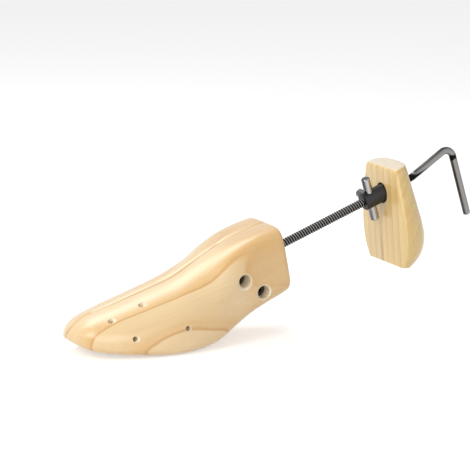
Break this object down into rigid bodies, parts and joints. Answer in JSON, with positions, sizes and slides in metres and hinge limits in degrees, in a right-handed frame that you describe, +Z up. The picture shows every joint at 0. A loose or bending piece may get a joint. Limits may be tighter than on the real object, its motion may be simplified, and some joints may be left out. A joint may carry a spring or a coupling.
{
  "type": "shoe stretcher",
  "caption": "Wooden two-way shoe stretcher with a split forefoot spread by a crank rod and wedge, and a heel block pushed back by a threaded sleeve.",
  "frame": {"origin": "on the sole's flat patch under the ball of the foot, on the middle plane between the two halves", "axes": "-X towards the toe, +X towards the heel, +Z up from the sole, +Y towards the right half; the rod rises towards the heel at 20 degrees in the plane Y = 0"},
  "size_m": [0.3354, 0.078, 0.1243],
  "materials": {
    "forefoot_wood": "oiled",
    "heel_wood": "oiled",
    "rod_steel": "dark oiled",
    "black_steel": "black oxide, satin",
    "bright_steel": "satin",
    "wedge_brass": "satin"
  },
  "bodies": {
    "block": {"hinge_block": "bright_steel", "upper_hinge_pin": "bright_steel", "lower_hinge_pin": "bright_steel"},
    "left_side": {"left_half": "forefoot_wood", "left_hinge_plate": "bright_steel", "left_plate_screws": "bright_steel", "left_wear_plate": "bright_steel", "left_wear_screws": "bright_steel"},
    "right_side": {"right_half": "forefoot_wood", "right_hinge_plate": "bright_steel", "right_plate_screws": "bright_steel", "right_wear_plate": "bright_steel", "right_wear_screws": "bright_steel"},
    "wedge": {"wedge": "wedge_brass", "wedge_pins": "bright_steel"},
    "rod": {"crank_rod": "rod_steel"},
    "heel_washer": {"heel_washer": "bright_steel"},
    "heel": {"heel_block": "heel_wood", "heel_bush": "bright_steel"},
    "sleeve_washer": {"sleeve_washer": "bright_steel"},
    "sleeve": {"turning_sleeve": "black_steel", "upper_spoke": "rod_steel", "lower_spoke": "rod_steel", "far_spoke": "rod_steel"}
  },
  "joints": [
    {"name": "wedge_slide", "type": "slide", "parent": "block", "child": "wedge", "axis": [-0.9397, 0, -0.342], "range_m": [0, 0.02]},
    {"name": "crank_turn", "type": "hinge", "parent": "wedge", "child": "rod", "pos_m": [0.0845, 0, 0.0599], "axis": [-0.9397, 0, -0.342], "range_deg": [0, 3610]},
    {"name": "left_spread", "type": "hinge", "parent": "block", "child": "left_side", "pos_m": [0.07792, 0, 0.05751], "axis": [-0.342, 0, 0.9397], "range_deg": [0, 2.3]},
    {"name": "right_spread", "type": "hinge", "parent": "block", "child": "right_side", "pos_m": [0.07792, 0, 0.05751], "axis": [-0.342, 0, 0.9397], "range_deg": [-2.3, 0]},
    {"name": "heel_slide", "type": "slide", "parent": "wedge", "child": "heel_washer", "axis": [0.9397, 0, 0.342], "range_m": [-0.045, 0.0035]},
    {"name": "heel_swivel", "type": "hinge", "parent": "heel_washer", "child": "heel", "pos_m": [0.17847, 0, 0.0941], "axis": [0.9397, 0, 0.342], "continuous": true},
    {"name": "sleeve_slide", "type": "slide", "parent": "rod", "child": "sleeve_washer", "axis": [0.9397, 0, 0.342], "range_m": [-0.048, 0.0045]},
    {"name": "sleeve_turn", "type": "hinge", "parent": "sleeve_washer", "child": "sleeve", "pos_m": [0.16907, 0, 0.09068], "axis": [0.9397, 0, 0.342], "range_deg": [-8280, 720]}
  ],
  "couplings": [
    {"joint": "crank_turn", "follows": "wedge_slide", "rad_per_m": 3141.6},
    {"joint": "left_spread", "follows": "wedge_slide", "rad_per_m": 1.9812},
    {"joint": "right_spread", "follows": "wedge_slide", "rad_per_m": -1.9812},
    {"joint": "sleeve_turn", "follows": "heel_slide", "rad_per_m": 3141.6},
    {"joint": "sleeve_slide", "follows": "heel_slide", "ratio": 1}
  ]
}
